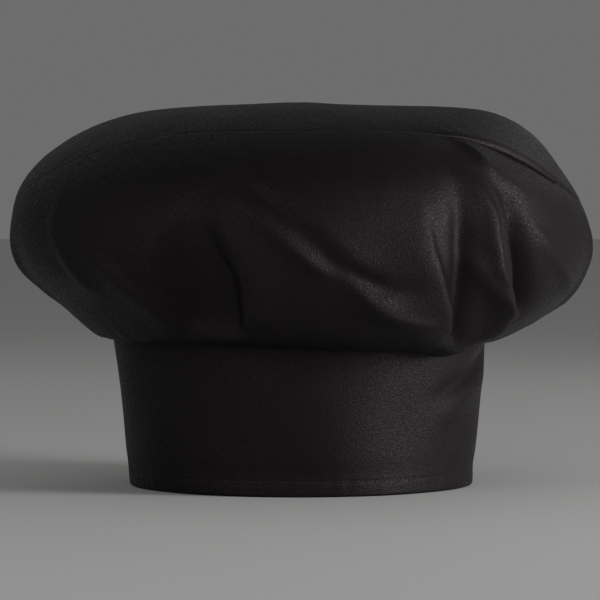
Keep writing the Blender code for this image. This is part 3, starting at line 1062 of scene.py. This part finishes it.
def tab_surface(azimuth, height):
    """A point on the tab's outer face and its normal."""
    return band_point(azimuth, height, tab_offset(azimuth) - 0.12 * MM), band_normal(azimuth)


def loop_surface(azimuth, height):
    """A point on the loop tape's face and its normal."""
    return band_point(azimuth, height, 0.75 * MM), band_normal(azimuth)


def polyline(corners):
    """Distance along a line of (azimuth, height) corners, and a function from distance to a place on it."""
    corners = np.array(corners, float)
    flat = np.stack([metres_round(corners[:, 0]), corners[:, 1]], -1)
    lengths = running_total(np.linalg.norm(np.diff(flat, axis=0), axis=1))

    def place(distance):
        return np.interp(distance, lengths, corners[:, 0]), np.interp(distance, lengths, corners[:, 1])

    return lengths[-1], place


def stitched_line(name, corners, surface, pitch=2.6 * MM):
    """A row of stitches along a line of corners on a surface."""
    length, place = polyline(corners)
    return stitches(name, lambda distance: surface(*place(distance)), length, pitch, wobble=0.04 * MM)


def box_corners(span, heights, inset):
    """The line round a tape, inside its edge."""
    (start, end), (low, high) = span, heights
    turn = math.degrees(inset / BAND_LOW_RADIUS)
    start, end, low, high = start + turn, end - turn, low + inset, high - inset
    return [(start, low), (end, low), (end, high), (start, high), (start, low)]


def tab_edge_line(inset=3 * MM):
    """The line of stitching inside the tab's edge: along the bottom, round the end and along the top."""
    low, high = TAB_HEIGHTS[0] + inset, TAB_HEIGHTS[1] - inset
    corner = TAB_CORNER - inset
    per_metre = 1 / metres_round(1.0)
    line = [(100.0, low)]
    for centre, start in ((low + corner, 270), (high - corner, 180)):
        for angle in np.linspace(start, start - 90, 8):
            turn = math.radians(angle)
            azimuth = TAB_END + (TAB_CORNER + corner * math.cos(turn)) * per_metre
            line.append((azimuth, centre + corner * math.sin(turn)))
    return line + [(100.0, high)]


def hooks(name, span, heights, base, height):
    """Rows of small nylon hooks that point in towards the band."""
    pick = random.Random(name)
    paths = []
    bend = np.radians([0, 40, 80, 120, 165])
    for azimuth in np.arange(span[0] + 1.0, span[1] - 0.8, 0.85):
        for up in np.arange(heights[0] + 1.1 * MM, heights[1] - 1 * MM, 1.45 * MM):
            flip = 1 if pick.random() < 0.5 else -1
            place, out = band_point(azimuth, up), band_normal(azimuth)
            stem = base - height * np.array([0, 0.45])
            curl = base - height * (0.55 + 0.45 * np.sin(bend))
            shift = flip * height * 0.4 * (1 - np.cos(bend))
            offsets = np.concatenate([stem, curl])
            rises = np.concatenate([[0, 0], shift])
            line = place + out * offsets[:, None] + np.array([0, 0, 1.0]) * rises[:, None]
            paths.append((line, np.tile([-out[1], out[0], 0.0], (len(line), 1))))
    return tubes_object(name, paths, 0.1 * MM, 4)


def loops(name, span, heights, base, height):
    """The soft pile of the loop tape: small arches that lie every way."""
    pick = random.Random(name)
    paths = []
    arch = np.radians(np.linspace(0, 180, 6))
    for azimuth in np.arange(span[0] + 0.8, span[1] - 0.6, 0.62):
        for up in np.arange(heights[0] + 0.9 * MM, heights[1] - 0.8 * MM, 1.05 * MM):
            turn = pick.uniform(0, math.pi)
            at = azimuth + pick.uniform(-0.2, 0.2), up + pick.uniform(-0.35, 0.35) * MM
            place, out = band_point(*at), band_normal(at[0])
            along = np.array([-out[1], out[0], 0]) * math.cos(turn) + np.array([0, 0, 1.0]) * math.sin(turn)
            size = pick.uniform(0.35, 0.6) * MM
            tall = height * pick.uniform(0.6, 1)
            line = place + out * (base + tall * np.sin(arch))[:, None]
            line = line + along * (size * np.cos(arch))[:, None]
            paths.append((line, np.tile(np.cross(out, along), (len(line), 1))))
    return tubes_object(name, paths, 0.07 * MM, 4)


def bar_tack(name, height):
    """A dense bar of short stitches across the tab's root."""
    paths = []
    for step in range(22):
        up = height + step * 0.38 * MM
        azimuths = BAND_ROOT + 1.5 + np.array([-0.55, -0.4, 0, 0.4, 0.55])
        rise = np.array([-0.15, 0.2, 0.3, 0.2, -0.15]) * MM
        slant = np.array([-0.15, -0.1, 0, 0.1, 0.15]) * MM * (1 if step % 2 else -1)
        points = band_point(azimuths, up + slant, rise)
        paths.append((points, band_normal(azimuths)))
    return tubes_object(name, paths, 0.17 * MM, 5)


def build_closure():
    root, past = (band_point(azimuth, HINGE_HEIGHT) for azimuth in (BAND_ROOT, BAND_ROOT - 5.5))
    hinge = (tuple(root), tuple(past))
    shell = keep(tab_face("tab_cloth", BAND_ROOT, 1, 0.5 * MM), BLACK_TWILL, hinge, "tab_shell")
    facing = keep(tab_face("tab_lining", 105.5, -1, 0.45 * MM), LINING_TWILL, hinge, "tab_facing")
    azimuths = np.linspace(TAB_END + 2, 101, 40)
    heights = np.linspace(TAB_HEIGHTS[0] + 6 * MM, TAB_HEIGHTS[1] - 6 * MM, 12)
    core = tab_offset(azimuths) - TAB_HALF + 0.4 * MM
    stiff = band_sheet("tab_stiffener", azimuths, heights, core, 0.7 * MM)
    keep(stiff, NONWOVEN, "tab", "tab_interlining", slot="interlining_black")

    line = stitched_line("tab_edge_stitches", tab_edge_line(), tab_surface)
    keep_thread(line, "tab", "tab_edge_stitch")
    inner = TAB_OUT - 2 * TAB_HALF
    for row, heights in TAPE_ROWS.items():
        backing = np.linspace(*heights, 6)
        hook = band_layer("hook_tape_back_" + row, HOOK_SPAN, backing, inner - 0.05 * MM, 0.35 * MM, 0.5)
        keep(hook, TAPE_WEAVE, "tab", "hook_tape_" + row, slot="hook_tape_black")
        teeth = hooks("hook_teeth_" + row, HOOK_SPAN, heights, inner - 0.38 * MM, 0.75 * MM)
        keep(teeth, NYLON, "tab", slot="hook_tape_black")
        box = stitched_line("hook_stitches_" + row, box_corners(HOOK_SPAN, heights, 2 * MM), tab_surface)
        keep_thread(box, "tab", "hook_stitch_" + row)
        loop = band_layer("loop_tape_back_" + row, LOOP_SPAN, backing, 0.5 * MM, 0.4 * MM, 0.5)
        keep(loop, LOOP_PILE, "hat", "loop_tape_" + row, slot="loop_pile_black")
        fuzz = loops("loop_pile_" + row, LOOP_SPAN, heights, 0.48 * MM, 0.6 * MM)
        keep(fuzz, LOOP_PILE, "hat", slot="loop_pile_black")
        box = stitched_line("loop_stitches_" + row, box_corners(LOOP_SPAN, heights, 1.6 * MM), loop_surface)
        keep_thread(box, "hat", "loop_stitch_" + row)
    for row, height in {"lower": TAB_HEIGHTS[0] + 1 * MM, "upper": TAB_HEIGHTS[1] - 9 * MM}.items():
        keep_thread(bar_tack("root_tack_" + row, height), "hat", "bar_tack_" + row)


# The studio


HAT_MIDDLE = Vector((0, 0, 110 * MM))
LIGHT_DISTANCE = 1.4
WORLD_STRENGTH = 0.155

# name: azimuth and elevation in degrees, size in metres, power in watts
LIGHTS = {
    "key": (-22, 10, 0.6, 13.5),
    "back": (60, 25, 0.45, 0.42),
    "fill": (236, 10, 1.6, 5),
    "rear": (118, 40, 1.6, 0.5),
}

# A long lens, two degrees above the level, square on to the front
LENS = 280
CAMERA_RISE = math.radians(2)
CAMERA_DISTANCE = 2.5
CAMERA_AIM = Vector((0.0, 0, 98.5 * MM))


def light_scene():
    world = bpy.data.worlds.new("studio")
    world.use_nodes = True
    world.node_tree.nodes["Background"].inputs["Color"].default_value = (1, 1, 1, 1)
    world.node_tree.nodes["Background"].inputs["Strength"].default_value = WORLD_STRENGTH
    bpy.context.scene.world = world
    for name, (azimuth, elevation, size, power) in LIGHTS.items():
        light = bpy.data.lights.new(name, "AREA")
        light.shape = "DISK"
        light.size = size
        light.energy = power
        lamp = bpy.data.objects.new(name, light)
        turn, rise = math.radians(azimuth), math.radians(elevation)
        way = Vector((math.cos(turn) * math.cos(rise), math.sin(turn) * math.cos(rise), math.sin(rise)))
        lamp.location = HAT_MIDDLE + way * LIGHT_DISTANCE
        lamp.rotation_euler = (-way).to_track_quat("-Z", "Y").to_euler()
        show(lamp)


def place_camera():
    camera = bpy.data.objects.new("camera", bpy.data.cameras.new("camera"))
    camera.data.lens = LENS
    way = Vector((0, -math.cos(CAMERA_RISE), math.sin(CAMERA_RISE)))
    camera.location = CAMERA_AIM + way * CAMERA_DISTANCE
    camera.rotation_euler = (-way).to_track_quat("-Z", "Y").to_euler()
    show(camera)
    bpy.context.scene.camera = camera


def make_floor():
    floor = mesh_object("floor", [(-6, -6, 0), (6, -6, 0), (6, 6, 0), (-6, 6, 0)], [[0, 1, 2, 3]])
    show(floor)
    floor.data.materials.append(blank_material("pale_floor", (0.72, 0.72, 0.71), 0.85)[0])


build_crown()
build_band()
build_label()
build_closure()
make_floor()
light_scene()
place_camera()
